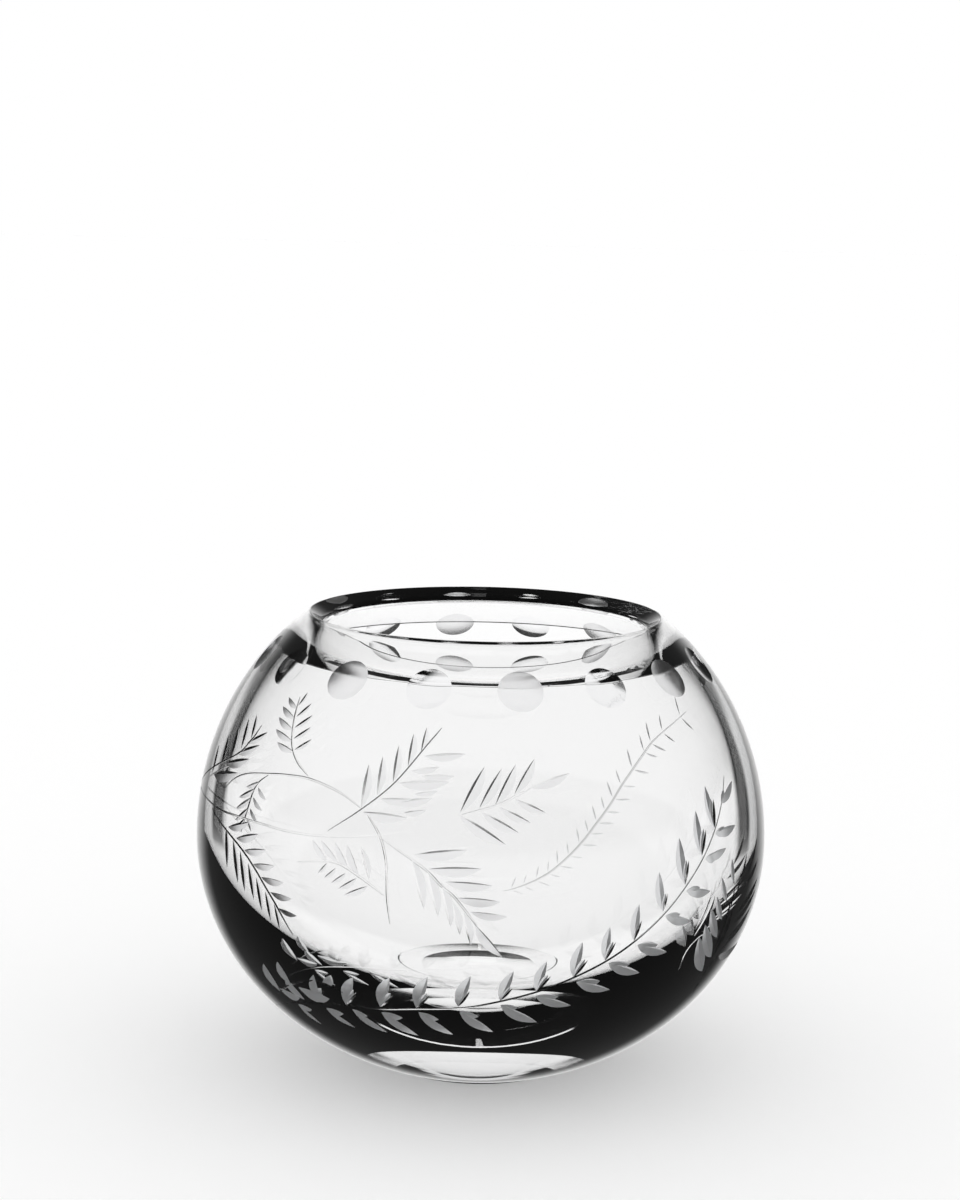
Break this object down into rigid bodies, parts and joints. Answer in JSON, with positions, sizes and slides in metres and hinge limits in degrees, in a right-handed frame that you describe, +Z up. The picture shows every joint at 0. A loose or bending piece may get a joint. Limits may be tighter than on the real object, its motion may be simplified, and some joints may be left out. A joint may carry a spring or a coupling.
{
  "type": "rose bowl vase",
  "caption": "Thick-walled clear crystal rose bowl with a rounded polished rim, a ring of round cuts on the shoulder and a ground foot.",
  "frame": {"origin": "middle of the foot, on the surface that the bowl stands on", "axes": "+Z up along the bowl's axis, front of the bowl towards -Y"},
  "size_m": [0.165, 0.165, 0.1317],
  "materials": {
    "crystal": "clear polished lead crystal with satin wheel-cut ornament"
  },
  "bodies": {
    "root": {"glass_bowl": "crystal"}
  },
  "joints": []
}
